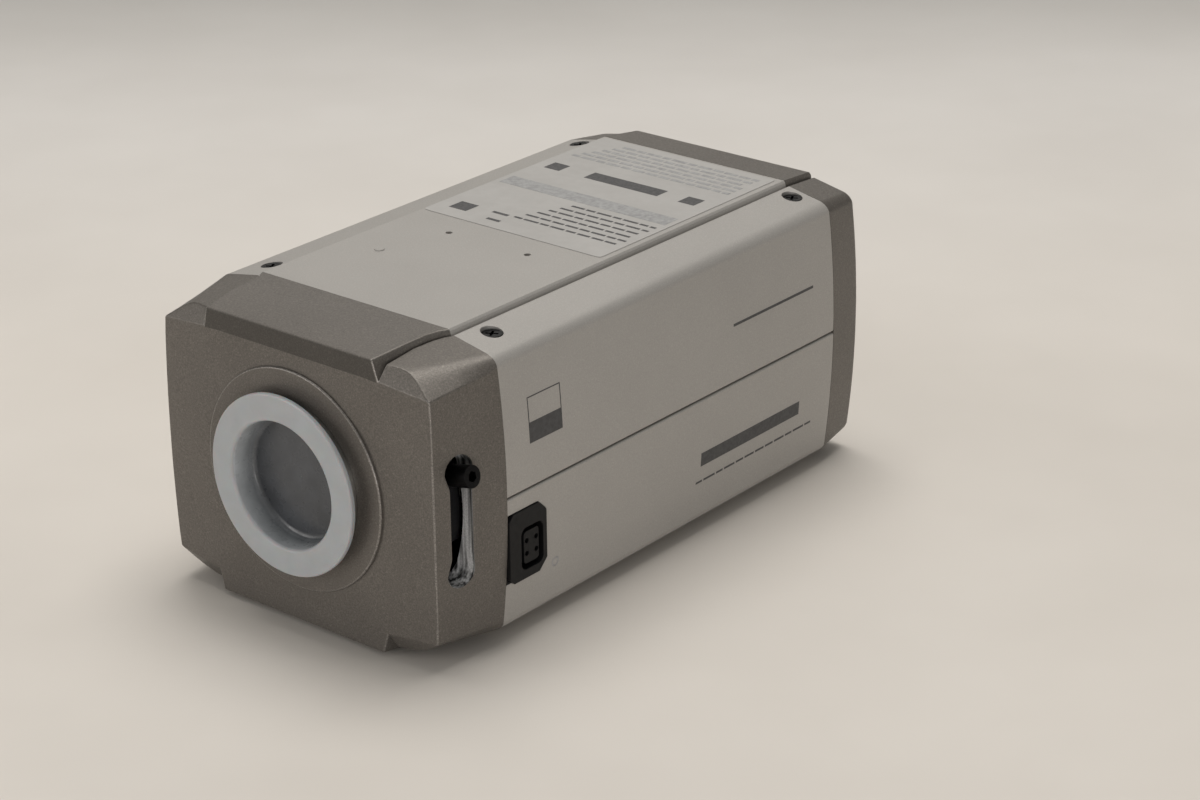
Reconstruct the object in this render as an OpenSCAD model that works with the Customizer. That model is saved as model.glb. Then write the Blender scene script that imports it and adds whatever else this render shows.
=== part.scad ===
// Day/night box camera: a metal housing with a front and a rear frame, an upper and a lower cover,
// a screw lens mount closed by a dust plug, a back-focus ring, a swinging infrared filter, a sensor
// on a sliding carriage, a stack of circuit boards and a recessed panel of sockets and buttons.
// Frame: origin at the mouth of the tripod thread, the lens looks towards -Y, +Z is up.
// Modules are written about the lens axis (z = 0) with the front seam at y = 0.

/* [Housing] */
// Width across the bulged sides
body_w = 65.6; // [64.6:0.1:66.6]
// Height over the top and bottom plateaus
body_h = 54; // [53.6:0.1:54.6]
// Length of the two covers, from the front seam to the rear seam
cover_l = 91.9; // [88:0.5:110]
// Depth of the front frame, from its seam to the corners of its face
front_d = 15; // [14.8:0.1:15.4]
// Depth of the rear frame, from its seam to its rim
rear_d = 9.6; // [9.4:0.1:10.4]
// Wall of the covers
wall = 1.6; // [1.4:0.1:1.8]
// Half width of the plateaus
plateau_x = 21.3; // [21:0.1:21.6]
// Height of the side walls' upper corners above the lens axis
corner_z = 22.6; // [22.4:0.1:22.8]
// How far the tripod thread sits behind the front seam
tripod_y = 30; // [24:1:40]

/* [Lens mount] */
// Radius of the lens thread's crest circle, one inch nominal
lens_bore_r = 12.25; // [12.15:0.05:12.35]
// Outer radius of the lens ring
lens_ring_r = 14.5; // [14.2:0.1:14.8]
// Radius of the round boss on the front face
boss_r = 19.7; // [19:0.1:20.2]
// Radius of the dust cap's flange
cap_r = 16; // [15.6:0.1:16.4]
// Depth of the dust cap's recess
cap_recess = 4.7; // [4.5:0.1:4.9]

/* [Back focus] */
// Outer radius of the focus ring's rim segment
rim_r = 28.8; // [28.4:0.1:28.9]
// Angle of the locking screw above the horizontal at rest
screw_angle = 13; // [10:1:14]
// Radius of the locking screw's head
screw_head_r = 1.9; // [1.6:0.1:2]
// Length of the slot in the side of the front frame
slot_l = 23.6; // [23.4:0.1:24]

/* [Filter changer] */
// Radius of each filter window
window_r = 4.5; // [4:0.1:4.5]
// Distance between the two windows, which is the slider's travel
window_pitch = 10; // [9.6:0.1:10]

/* [Rear panel] */
// Radius of the video socket's barrel
bnc_r = 4.83; // [4.8:0.01:4.86]
// Distance between neighbouring menu buttons
button_pitch = 6; // [5.6:0.1:6.4]
// Travel of a menu button
button_travel = 0.4; // [0.25:0.05:0.45]

/* [Hidden] */
$fn = 64;
half_w = body_w / 2;
half_h = body_h / 2;
corner_x = half_w - 1.45;
shoulder_in = [plateau_x + 0.8, half_h - 0.8];
gap = 0.15;
// Y of planes along the lens axis
face_y = -front_d;
boss_y = face_y - 1;
ring_face_y = boss_y - 1.84;
cap_flange = 1.1;
cap_y = ring_face_y - cap_flange;
bezel_back = -13.2;
plate_y = bezel_back + 0.8;
ring_y0 = -12;
ring_y1 = -7;
hub_y = -7.6;
slot_y = -9.2;
slot_z = -0.8;
sensor_y = ring_face_y + 12.5;
// Radii of the bearing between the lens block's hub and the focus ring
hub_r = 20.3;
bearing = 0.06;
bore_r = 29.3;
// Rear planes
rear_face = cover_l + rear_d;
rear_scale = 0.96;
panel_y = rear_face - 5.4;
panel_t = 2;
board_y = panel_y - 7.6;
board_t = 1.6;
button_back = panel_y - panel_t - 1.4;
// Boards inside, by height
main_z = -14;
power_z = 9;
stud_x = 17.5;
stud_y = [14, 78];
// Places on the rear panel
bnc_at = [-13, 6];
power_at = [13, -9];
menu_at = [12, 6];
led_at = [-2.5, 13.5];
switch_at = [-6.5, -11];
level_at = [-17, -11];
// Automatic-iris lens socket: its flange, the pocket with an island in it, and the four holes
jack_x = 33;
jack_y = [0.1, 9.5];
jack_z = -9.4;
jack_half_h = 6.3;
flange_t = 1.6;
pocket_y = [3, 8.5];
pocket_z = [-14.1, -6.5];
pocket_gap = 0.85;
island_x = jack_x - 0.25;
pin_y = [4.6, 7];
pin_z = [-11.4, -9.1];
panel_screw_at = [23.2, 15.8];
block_screw_at = [21, 16];
guide_r = 0.75;
guide_at = [19, 0];
guide_angles = [20, 200];
tripod_r = 2.6;
insert_r = 6;
cover_screw_x = 25;
front_screw_y = 6;
rear_screw_y = cover_l - 3;

// Placing helpers

module placed() { translate([0, -tripod_y, half_h]) children(); }
module slab(y0, y1) { translate([0, y1, 0]) rotate([90, 0, 0]) linear_extrude(height = y1 - y0) children(); }
module rod_y(r, y0, y1) { translate([0, y0, 0]) rotate([-90, 0, 0]) cylinder(r = r, h = y1 - y0); }
module rod_x(r, x0, x1) { translate([x0, 0, 0]) rotate([0, 90, 0]) cylinder(r = r, h = x1 - x0); }
module at_xz(p) { translate([p[0], 0, p[1]]) children(); }
module block(lo, hi) { translate(lo) cube(hi - lo); }
module four_ways() {
    for (x = [-1, 1], z = [-1, 1])
        scale([x, 1, z]) children();
}
module round_rect(w, h, r) {
    square([w - 2 * r, h], center = true);
    square([w, h - 2 * r], center = true);
    for (x = [-1, 1], z = [-1, 1])
        translate([x * (w / 2 - r), z * (h / 2 - r)]) circle(r = r);
}

// Cross-section of the housing. A quadrant runs from the middle of the right side up to the
// plateau's corner, and mirror_quadrant repeats it three times, in order round the outline.

function side_arc(xm, xc, zc, n = 6) = [for (i = [1:n]) [xm - (xm - xc) * pow(i / n, 2), zc * i / n]];
function corner_arc(xc, zc, r, h) = [for (a = [30:30:90]) [xc - r + r * cos(a), zc + h * sin(a)]];
function backwards(q) = [for (i = [len(q) - 1:-1:0]) q[i]];
function mirror_quadrant(q) = concat(
    q,
    [for (p = backwards(q)) [-p[0], p[1]]],
    [for (p = q) [-p[0], -p[1]]],
    [for (p = backwards(q)) [p[0], -p[1]]]);
function shoulder_quadrant() = concat(
    side_arc(half_w, corner_x, corner_z),
    corner_arc(corner_x, corner_z, 2.3, 2.2),
    [shoulder_in]);
function cover_quadrant() = concat(
    shoulder_quadrant(),
    [[plateau_x + 0.4, half_h - 1.5], [plateau_x, half_h]]);
function cavity_quadrant(inset) = concat(
    side_arc(half_w - wall - inset, corner_x - wall - inset, corner_z - 1.3),
    corner_arc(corner_x - wall - inset, corner_z - 1.3, 1.4, 1.8 - inset),
    [[plateau_x, half_h - wall - 1 - inset], [plateau_x - 0.9, half_h - wall - 0.2 - inset]]);
function face_quadrant() = [[30.35, 8], [30.05, 21.43], [19.6, 22.23]];

// Housing

// The front frame's outside: a plateau band between shoulders that a shallow notch sets off
module front_plateau() {
    hull() {
        slab(-0.6, 0) square([2 * plateau_x, 2 * half_h], center = true);
        slab(face_y, face_y + 0.1) square([2 * plateau_x - 6.2, 2 * half_h - 2.4], center = true);
        slab(face_y - 0.4, face_y - 0.3) square([39.2, 44.4], center = true);
    }
}
module front_shoulders() {
    hull() {
        slab(-0.6, 0) polygon(mirror_quadrant(shoulder_quadrant()));
        slab(-11.9, -11.8) square([37, 48.7], center = true);
        slab(-10.5, -10.4) square([44.9, 47.7], center = true);
        slab(face_y, face_y + 0.1) polygon(mirror_quadrant(face_quadrant()));
        slab(boss_y, boss_y + 0.1) circle(r = 12, $fn = 32);
    }
}
// The rear frame tapers a little and its rim is eased
module rear_taper() {
    hull() {
        slab(-0.6, 0) children();
        slab(0.5 - rear_d, 0.6 - rear_d) scale(rear_scale) children();
        slab(-rear_d, 0.1 - rear_d) scale(rear_scale - 0.02) children();
    }
}
// The space inside a frame: a bore about the lens axis, cut off flat at the top and bottom
module frame_cavity(y0) {
    intersection() {
        rod_y(bore_r, y0, 20);
        union() {
            block([-31, y0, -19.6], [31, 20, 19.6]);
            block([-16.5, y0, -23.6], [16.5, 20, 23.6]);
        }
    }
}
// Tongue that enters the covers, and a tab under each shoulder screw
module frame_tongue(screw_y) {
    slab(-0.5, 2.5) polygon(mirror_quadrant(cavity_quadrant(gap)));
    four_ways()
        block([22.5, -2, 19], [27.6, screw_y + 3, 22.6]);
}
module frame_blank(screw_y, cavity_y) {
    difference() {
        union() {
            children();
            frame_tongue(screw_y);
        }
        frame_cavity(cavity_y);
        four_ways()
            translate([cover_screw_x, screw_y, 0]) cylinder(r = 1.2, h = 40);
    }
}
// Slot for the locking screw, with round pockets at its ends
module focus_slot() {
    end_z = slot_l / 2 - 2.8;
    translate([0, slot_y, slot_z]) {
        block([25, -2.25, -end_z], [40, 2.25, end_z]);
        for (z = [-1, 1])
            translate([0, -0.4, z * end_z]) rod_x(2.8, 25, 40);
    }
}
module front_bezel() {
    placed() color([0.42, 0.39, 0.36]) difference() {
        union() {
            frame_blank(front_screw_y, bezel_back) {
                front_plateau();
                front_shoulders();
            }
            rod_y(boss_r, boss_y, face_y + 1);
        }
        rod_y(lens_ring_r + 0.05, boss_y - 1, 0);
        focus_slot();
        block([22, -0.01, -16], [40, 3, -2.9]);
        four_ways()
            at_xz(block_screw_at) rod_y(1.25, face_y + 0.8, -10);
    }
}
module rear_bezel() {
    placed() color([0.42, 0.39, 0.36]) difference() {
        translate([0, cover_l, 0]) mirror([0, 1, 0])
            frame_blank(cover_l - rear_screw_y, cover_l - panel_y) {
                rear_taper() square([2 * plateau_x, 2 * half_h], center = true);
                rear_taper() polygon(mirror_quadrant(shoulder_quadrant()));
            }
        slab(panel_y - 0.05, rear_face + 3) round_rect(52, 37, 3);
        slab(rear_face - 14, panel_y) round_rect(58, 39.2, 2);
    }
    placed() color([0.42, 0.39, 0.36]) four_ways() difference() {
        block([21, panel_y - 5, 13.5], [29.2, panel_y - panel_t, 20]);
        at_xz(panel_screw_at) rod_y(1.15, 0, 200);
    }
}
module cover_blank(z_sign) {
    difference() {
        slab(0, cover_l) polygon(mirror_quadrant(cover_quadrant()));
        slab(-1, cover_l + 1) polygon(mirror_quadrant(cavity_quadrant(0)));
        scale([1, 1, z_sign])
            block([-40, -1, -40], [40, cover_l + 1, 0.12]);
        for (x = [-1, 1], y = [front_screw_y, rear_screw_y])
            scale([1, 1, z_sign]) translate([x * cover_screw_x, y, 0]) {
                cylinder(r = 1.3, h = 30);
                translate([0, 0, 24.5]) cylinder(r = 1.9, h = 4);
            }
    }
}
module upper_cover() {
    placed() color([0.66, 0.65, 0.63]) difference() {
        union() {
            cover_blank(1);
            translate([-12.8, 20, half_h - 1]) cylinder(r = 0.9, h = 1.25);
        }
        for (x = [-9, 9])
            translate([x, 33.7, half_h - 0.6]) cylinder(r = 0.6, h = 2);
    }
}
module lower_cover() {
    placed() color([0.63, 0.62, 0.6]) difference() {
        cover_blank(-1);
        jack_opening();
        translate([0, tripod_y, -40]) cylinder(r = insert_r, h = 30);
    }
}
module cover_screw() {
    difference() {
        union() {
            translate([0, 0, 24.5]) cylinder(r = 1.8, h = 0.8);
            translate([0, 0, 19.5]) cylinder(r = 1.15, h = 5.2);
        }
        for (a = [0, 90])
            rotate([0, 0, a + 30]) block([-1.1, -0.22, 24.8], [1.1, 0.22, 26]);
    }
}
module cover_screws(z_sign) {
    placed() color([0.2, 0.2, 0.2])
        for (x = [-1, 1], y = [front_screw_y, rear_screw_y])
            scale([1, 1, z_sign]) translate([x * cover_screw_x, y, 0]) cover_screw();
}
module upper_cover_screws() { cover_screws(1); }
module lower_cover_screws() { cover_screws(-1); }
module rating_label() {
    placed() color([0.85, 0.85, 0.83])
        block([-20.9, 40, half_h], [19.9, 91, half_h + 0.12]);
}
module tripod_insert() {
    placed() color([0.75, 0.7, 0.5]) translate([0, tripod_y, -half_h]) difference() {
        union() {
            cylinder(r = insert_r, h = 5);
            translate([0, 0, 1.8]) cylinder(r = insert_r + 2, h = 5.2);
        }
        translate([0, 0, -1]) cylinder(r = tripod_r, h = 7);
    }
}

// Lens mount and back focus

module dust_cap() {
    placed() color([0.85, 0.88, 0.92]) difference() {
        union() {
            rod_y(cap_r - 0.5, cap_y, cap_y + 0.5);
            rod_y(cap_r, cap_y + 0.5, ring_face_y);
            rod_y(lens_bore_r - 0.1, ring_face_y - 0.5, cap_y + cap_recess + 1);
        }
        rod_y(11.2, cap_y - 1, cap_y + cap_recess);
    }
}
module lens_ring() {
    placed() color([0.7, 0.7, 0.72]) difference() {
        rod_y(lens_ring_r, ring_face_y, ring_y0 - 0.2);
        rod_y(lens_bore_r, ring_face_y - 1, 0);
    }
}
module lens_block() {
    placed() color([0.3, 0.3, 0.32]) difference() {
        union() {
            slab(bezel_back, plate_y) round_rect(47.4, 37.6, 3);
            rod_y(hub_r, -12.5, hub_y);
        }
        rod_y(lens_ring_r, bezel_back - 1, ring_y0 - 0.2);
        rod_y(lens_bore_r, -13, -11.5);
        rod_y(18, ring_y0 + 0.4, 0);
        four_ways()
            at_xz(block_screw_at) countersunk_head();
        guide_positions() rod_y(guide_r, hub_y - 2.5, 0);
    }
}
// Head of a screw that lies flush in the lens block's plate, as long as the plate is thick
module countersunk_head() {
    translate([0, bezel_back, 0]) rotate([-90, 0, 0]) cylinder(r1 = 1.25, r2 = 2.1, h = plate_y - bezel_back);
}
module guide_positions() {
    for (a = guide_angles)
        rotate([0, a, 0]) at_xz(guide_at) children();
}
module lens_block_screws() {
    placed() color([0.5, 0.5, 0.52])
        four_ways() at_xz(block_screw_at) difference() {
            union() {
                rod_y(1.25, face_y + 0.9, bezel_back + 0.1);
                countersunk_head();
            }
            block([-1.5, plate_y - 0.4, -0.25], [1.5, plate_y + 1, 0.25]);
        }
}
module friction_washer() {
    placed() color([0.75, 0.75, 0.76]) difference() {
        rod_y(22.2, -12.35, -12.08);
        rod_y(hub_r + 0.1, -13, -12);
    }
}
// A pie slice of the ring plane, from angle a0 to a1 above +X
module sector(a0, a1, r) {
    polygon(concat([[0, 0]], [for (i = [0:6]) let (a = a0 + (a1 - a0) * i / 6) r * [cos(a), sin(a)]]));
}
module focus_ring() {
    placed() color([0.08, 0.08, 0.09]) rotate([0, -screw_angle, 0]) difference() {
        union() {
            rod_y(22.4, ring_y0, -3);
            intersection() {
                rod_y(rim_r, ring_y0, ring_y1);
                slab(ring_y0, ring_y1) sector(-24, 24, 40);
            }
        }
        rod_y(hub_r + bearing, ring_y0 - 1, 0);
        translate([0, slot_y, 0]) rod_x(1.3, 18, 40);
        for (a = [60, 180, 300])
            skirt_window(a);
    }
}
// A window in the ring's skirt in which a follower of the carriage works
module skirt_window(a) {
    intersection() {
        difference() {
            rod_y(24, -6.4, -2);
            rod_y(19, -7, 0);
        }
        slab(-7, 0) sector(a - 8, a + 36, 40);
    }
}
module lock_screw() {
    placed() color([0.06, 0.06, 0.06]) rotate([0, -screw_angle, 0]) translate([0, slot_y, 0]) difference() {
        union() {
            rod_x(1.24, 24.2, 31);
            rod_x(screw_head_r, 30.2, 34.5);
        }
        translate([33.1, 0, 0]) rotate([0, 90, 0]) cylinder(r = 0.95, h = 3, $fn = 6);
    }
}

// Filter changer, inside the lens block's hub

module filter_frame() {
    placed() color([0.12, 0.12, 0.13]) difference() {
        rod_y(17.9, ring_y0 + 0.4, -10.9);
        rod_y(window_r, -13, -8);
        block([-20, -12, 10.2], [20, -10, 20]);
    }
    placed() color([0.12, 0.12, 0.13])
        for (rail_z = [[-8.3, -6.3], [8.3, 9.8]])
            block([-14, -10.9, rail_z[0]], [14, -9.6, rail_z[1]]);
}
module filter_slider() {
    placed() color([0.16, 0.16, 0.17]) translate([window_pitch / 2, 0, 0]) difference() {
        block([-10.5, -10.7, -5.9], [10.5, -9.5, 7.9]);
        for (x = [-1, 1])
            translate([x * window_pitch / 2, 0, -0.4]) rod_y(window_r - 0.4, -12, -8);
        for (x = [-1, 1])
            translate([x * window_pitch / 2, 0, -0.4]) rod_y(window_r + 0.2, -10.4, -8);
        block([-1, -11, 3], [1, -9, 6.4]);
    }
}
module slider_glass(x) {
    translate([window_pitch / 2 + x, 0, -0.4]) rod_y(window_r + 0.2, -10.4, -9.7);
}
module infrared_filter() { placed() color([0.45, 0.75, 0.75, 0.5]) slider_glass(-window_pitch / 2); }
module clear_filter() { placed() color([0.85, 0.9, 0.92, 0.4]) slider_glass(window_pitch / 2); }
module filter_motor() {
    placed() color([0.35, 0.2, 0.1]) difference() {
        block([-6.4, -11.5, 10.4], [6.4, -9.6, 16.1]);
        at_xz([0, 14]) rod_y(0.85, -12, -9);
    }
}
module filter_arm() {
    placed() color([0.75, 0.75, 0.76]) at_xz([0, 14]) {
        rod_y(0.8, -11.4, -8.6);
        rod_y(1.9, -9.3, -8.5);
        rotate([0, -30, 0]) {
            block([-0.9, -9.3, -window_pitch - 0.9], [0.9, -8.5, 0]);
            at_xz([0, -window_pitch]) rod_y(0.75, -10.6, -8.5);
        }
    }
}
module filter_cover() {
    placed() color([0.1, 0.1, 0.11]) difference() {
        rod_y(17.9, -8.2, hub_y);
        rod_y(5.4, -9, -7);
    }
}

// Sensor on its carriage

module guide_pins() {
    placed() color([0.8, 0.8, 0.82])
        guide_positions() rod_y(guide_r, hub_y - 2.5, 5);
}
module sensor_carriage() {
    placed() color([0.14, 0.14, 0.15]) difference() {
        union() {
            rod_y(20.1, -4, -2.5);
            for (a = [60, 180, 300])
                rotate([0, -screw_angle - a, 0]) translate([0, -4.2, 0]) rod_x(0.9, 19, 22);
        }
        block([-6.3, -5, -6], [6.3, 0, 6]);
        guide_positions() rod_y(guide_r + 0.05, -5, 0);
        four_ways()
            at_xz([12, 12]) rod_y(0.85, -5, 0);
    }
}
module sensor_gasket() {
    placed() color([0.05, 0.05, 0.05]) difference() {
        slab(-6.6, -4) square([16, 15], center = true);
        slab(-8, -3) square([12.4, 11.8], center = true);
    }
}
module image_sensor() {
    placed() color([0.75, 0.72, 0.66]) {
        difference() {
            slab(-6, -2.6) square([12.2, 11.6], center = true);
            slab(-7, sensor_y + 0.4) square([9, 8], center = true);
        }
        slab(sensor_y, sensor_y + 0.4) square([6.4, 5.2], center = true);
        for (x = [-1, 1], i = [-3:3])
            block([x * 5.4 - 0.2, -2.7, i * 1.4 - 0.2], [x * 5.4 + 0.2, -0.2, i * 1.4 + 0.2]);
    }
}
module sensor_window() {
    placed() color([0.8, 0.88, 0.95, 0.4]) slab(-6.4, -6) square([11.6, 11], center = true);
}
module sensor_board() {
    placed() color([0.1, 0.3, 0.15]) difference() {
        slab(-0.7, 0.9) square([34, 36], center = true);
        guide_positions() rod_y(guide_r + 0.6, -5, 5);
        four_ways()
            at_xz([12, 12]) rod_y(0.85, -5, 5);
        for (x = [-1, 1], i = [-3:3])
            block([x * 5.4 - 0.2, -2.7, i * 1.4 - 0.2], [x * 5.4 + 0.2, -0.2, i * 1.4 + 0.2]);
    }
}
module sensor_board_screws() {
    placed() color([0.7, 0.7, 0.72])
        four_ways() at_xz([12, 12]) {
            rod_y(0.85, -3.6, 0.9);
            rod_y(1.6, 0.9, 1.8);
            difference() {
                rod_y(1.6, -2.5, -0.7);
                rod_y(0.85, -3, 0);
            }
        }
}
// Flat cable from the sensor board back into a long-mouthed connector on the main board
module ribbon_cable() {
    placed() color([0.85, 0.82, 0.72]) {
        block([-7, 0.9, -9.6], [7, 3, -7]);
        block([-6.5, 3, -8.5], [6.5, 5.3, -8.2]);
        block([-6.5, 5, -12.5], [6.5, 5.3, -8.2]);
        block([-6.5, 5, -12.5], [6.5, 14, -12.2]);
    }
}

// Automatic-iris lens socket on the side

// Outline of the socket as (z, y) about its middle, grown all round
function jack_outline(grow) = let (h = jack_half_h + grow, w = (jack_y[1] - jack_y[0]) / 2 + grow)
    [[-h, 1 - w], [1.1 - h, -w], [h - 1.1, -w], [h, 1 - w],
     [h, w - 2], [h - 1.9, w], [1.9 - h, w], [-h, w - 2]];
module jack_slab(grow, x0, x1) {
    translate([x1, (jack_y[0] + jack_y[1]) / 2, jack_z]) rotate([0, -90, 0])
        linear_extrude(height = x1 - x0) polygon(jack_outline(grow));
}
module pocket_slab(inset, r, x0, x1) {
    h = pocket_z[1] - pocket_z[0] - 2 * inset;
    w = pocket_y[1] - pocket_y[0] - 2 * inset;
    translate([x1, (pocket_y[0] + pocket_y[1]) / 2, (pocket_z[0] + pocket_z[1]) / 2]) rotate([0, -90, 0])
        linear_extrude(height = x1 - x0) round_rect(h, w, r);
}
// The hole in the lower cover, open towards the front frame
module jack_opening() {
    jack_slab(0.1, 20, 40);
    block([20, -1, jack_z - jack_half_h - 0.1], [40, 2, jack_z + jack_half_h + 0.1]);
}
module at_pins() {
    for (y = pin_y, z = pin_z)
        translate([0, y, z]) children();
}
module lens_jack() {
    placed() color([0.07, 0.07, 0.08]) difference() {
        union() {
            jack_slab(0, jack_x - flange_t, jack_x);
            jack_slab(-0.2, 24, jack_x - flange_t + 0.2);
        }
        pocket_slab(0, 1.3, 27, 40);
    }
    placed() color([0.07, 0.07, 0.08]) difference() {
        pocket_slab(pocket_gap, 0.7, 26.9, island_x);
        at_pins() rod_x(0.45, 27.5, 40);
    }
}
module lens_jack_contacts() {
    placed() color([0.8, 0.65, 0.3]) at_pins() {
        rod_x(0.4, 22.5, 24);
        rod_x(0.44, 27.5, 29.5);
    }
}

// Circuit boards

module stud_positions() {
    for (x = [-1, 1], y = stud_y)
        translate([x * stud_x, y, 0]) children();
}
module main_board() {
    placed() color([0.08, 0.28, 0.14]) difference() {
        block([-26, 11, main_z - board_t], [26, 84, main_z]);
        stud_positions() translate([0, 0, main_z - 5]) cylinder(r = 1.3, h = 10);
    }
}
module main_chips() {
    placed() color([0.1, 0.1, 0.11]) {
        block([-9, 30, main_z], [9, 48, main_z + 1.6]);
        block([12, 24, main_z], [20, 34, main_z + 1.4]);
        block([-18, 56, main_z], [-6, 64, main_z + 1.4]);
        block([0, 58, main_z], [8, 68, main_z + 1.2]);
    }
}
module board_connectors() {
    placed() color([0.88, 0.86, 0.78]) {
        difference() {
            block([-8.5, 11.4, main_z], [8.5, 17, main_z + 3.4]);
            block([-6.8, 11, -12.7], [6.8, 15.5, -12]);
        }
        block([-24, 40, main_z], [-19, 52, main_z + 5]);
        block([19, 52, main_z], [24, 62, main_z + 5]);
    }
}
module board_studs() {
    placed() color([0.78, 0.7, 0.45]) stud_positions() {
        translate([0, 0, -half_h + wall + 0.2]) cylinder(r = 2.4, h = main_z - board_t + half_h - wall - 0.2);
        translate([0, 0, main_z]) cylinder(r = 2.4, h = power_z - board_t - main_z, $fn = 6);
    }
}
module board_screws() {
    placed() color([0.6, 0.6, 0.62]) stud_positions() translate([0, 0, power_z]) {
        difference() {
            cylinder(r = 2.4, h = 1.3);
            translate([-1.8, -0.3, 0.8]) cube([3.6, 0.6, 2]);
        }
        translate([0, 0, -board_t]) cylinder(r = 1.25, h = board_t);
    }
}
module power_board() {
    placed() color([0.1, 0.25, 0.35]) difference() {
        block([-25, 11, power_z - board_t], [25, 82, power_z]);
        stud_positions() translate([0, 0, power_z - 5]) cylinder(r = 1.3, h = 10);
    }
}
module power_coils() {
    placed() color([0.25, 0.18, 0.12]) {
        translate([-12, 38, power_z]) difference() {
            cylinder(r = 6.5, h = 7);
            translate([0, 0, -1]) cylinder(r = 2.2, h = 9);
        }
        block([4, 26, power_z], [18, 40, power_z + 11]);
    }
}
module power_capacitors() {
    placed() color([0.1, 0.12, 0.2])
        for (p = [[-10, 56, 4], [1, 56, 4], [11, 54, 3.15], [-8, 68, 3.15], [2, 68, 3.15], [11, 66, 2.5]])
            translate([p[0], p[1], power_z]) cylinder(r = p[2], h = 11);
}

// Rear panel and what it carries

module panel_holes() {
    at_xz(bnc_at) rod_y(4.9, 0, 200);
    at_xz(led_at) rod_y(1.55, 0, 200);
    at_xz(level_at) rod_y(2.6, 0, 200);
    block([switch_at[0] - 3, 0, switch_at[1] - 1.2], [switch_at[0] + 3, 200, switch_at[1] + 1.2]);
    block([power_at[0] - 7.1, 0, power_at[1] - 5.1], [power_at[0] + 7.1, 200, power_at[1] + 5.1]);
    menu_positions() rod_y(2.1, 0, 200);
}
module menu_positions() {
    for (p = [[0, 0], [0, 1], [0, -1], [-1, 0], [1, 0]])
        at_xz(menu_at + button_pitch * p) children();
}
module rear_panel() {
    placed() color([0.15, 0.15, 0.16]) difference() {
        union() {
            slab(panel_y - panel_t, panel_y) round_rect(57.6, 38.8, 2);
            slab(panel_y - 0.5, panel_y + 0.6) round_rect(51.6, 36.6, 3);
        }
        panel_holes();
        four_ways()
            at_xz(panel_screw_at) rod_y(1.2, 0, 200);
    }
}
module rear_panel_screws() {
    placed() color([0.75, 0.75, 0.76])
        four_ways() at_xz(panel_screw_at) {
            rod_y(1.15, board_y + board_t + 0.2, panel_y + 0.7);
            difference() {
                rod_y(2.1, panel_y + 0.6, panel_y + 1.8);
                for (a = [0, 90])
                    rotate([0, a, 0]) block([-1.2, panel_y + 1.2, -0.25], [1.2, panel_y + 3, 0.25]);
            }
        }
}
module bnc_shell() {
    placed() color([0.78, 0.78, 0.8]) at_xz(bnc_at) difference() {
        union() {
            rod_y(4.75, panel_y - 7, panel_y + 2.4);
            rod_y(6.6, panel_y + 0.6, panel_y + 2);
            rod_y(bnc_r, panel_y + 2, panel_y + 12.6);
            translate([0, panel_y + 9.5, 0]) rod_x(0.95, -5.5, 5.5);
        }
        rod_y(4.06, panel_y + 3.6, panel_y + 20);
        rod_y(1.2, panel_y - 8, panel_y + 20);
    }
}
module bnc_insulator() {
    placed() color([0.92, 0.92, 0.9]) at_xz(bnc_at) difference() {
        rod_y(2.4, panel_y + 3.6, panel_y + 11.4);
        rod_y(1.2, panel_y, panel_y + 20);
    }
}
module bnc_contact() {
    placed() color([0.85, 0.7, 0.35]) at_xz(bnc_at) difference() {
        rod_y(1.18, panel_y - 10, panel_y + 10.8);
        rod_y(0.68, panel_y + 6, panel_y + 20);
    }
}
module bnc_nut() {
    placed() color([0.72, 0.72, 0.74]) at_xz(bnc_at) difference() {
        translate([0, panel_y - 4.2, 0]) rotate([-90, 0, 0]) cylinder(r = 7, h = 2.2, $fn = 6);
        rod_y(4.75, 0, 200);
    }
}
module power_terminal() {
    placed() color([0.08, 0.3, 0.16]) at_xz(power_at) difference() {
        block([-7, board_y + board_t, -5], [7, panel_y + 5, 5]);
        for (x = [-1, 1]) {
            block([x * 3.4 - 1.5, panel_y - 2, -4], [x * 3.4 + 1.5, panel_y + 6, -0.8]);
            at_xz([x * 3.4, 2.2]) rod_y(1.9, panel_y + 1, panel_y + 6);
            at_xz([x * 3.4, 2.2]) rod_y(1.25, panel_y - 3, panel_y + 2);
        }
    }
}
module terminal_screw(x) {
    placed() color([0.75, 0.75, 0.77]) at_xz(power_at + [x, 2.2]) difference() {
        union() {
            rod_y(1.8, panel_y + 2.2, panel_y + 4);
            rod_y(1.18, panel_y - 2.6, panel_y + 2.4);
        }
        block([-2, panel_y + 3.2, -0.3], [2, panel_y + 5, 0.3]);
    }
}
module terminal_screw_left() { terminal_screw(-3.4); }
module terminal_screw_right() { terminal_screw(3.4); }
module power_lamp() {
    placed() color([0.2, 0.75, 0.3]) at_xz(led_at) {
        rod_y(1.5, board_y + board_t, panel_y + 0.9);
        translate([0, panel_y + 0.9, 0]) intersection() {
            sphere(r = 1.5);
            rod_y(2, 0, 2);
        }
    }
}
module menu_button(p) {
    placed() color([0.25, 0.25, 0.27]) at_xz(menu_at + button_pitch * p) {
        rod_y(2, button_back + 0.6, panel_y + 1.4);
        rod_y(2.6, button_back, panel_y - panel_t - 0.1);
    }
}
module menu_button_centre() { menu_button([0, 0]); }
module menu_button_up() { menu_button([0, 1]); }
module menu_button_down() { menu_button([0, -1]); }
module menu_button_left() { menu_button([-1, 0]); }
module menu_button_right() { menu_button([1, 0]); }
module io_board() {
    placed() color([0.08, 0.28, 0.14]) difference() {
        slab(board_y, board_y + board_t) square([50, 36], center = true);
        at_xz(bnc_at) rod_y(5.2, 0, 200);
    }
}
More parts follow.
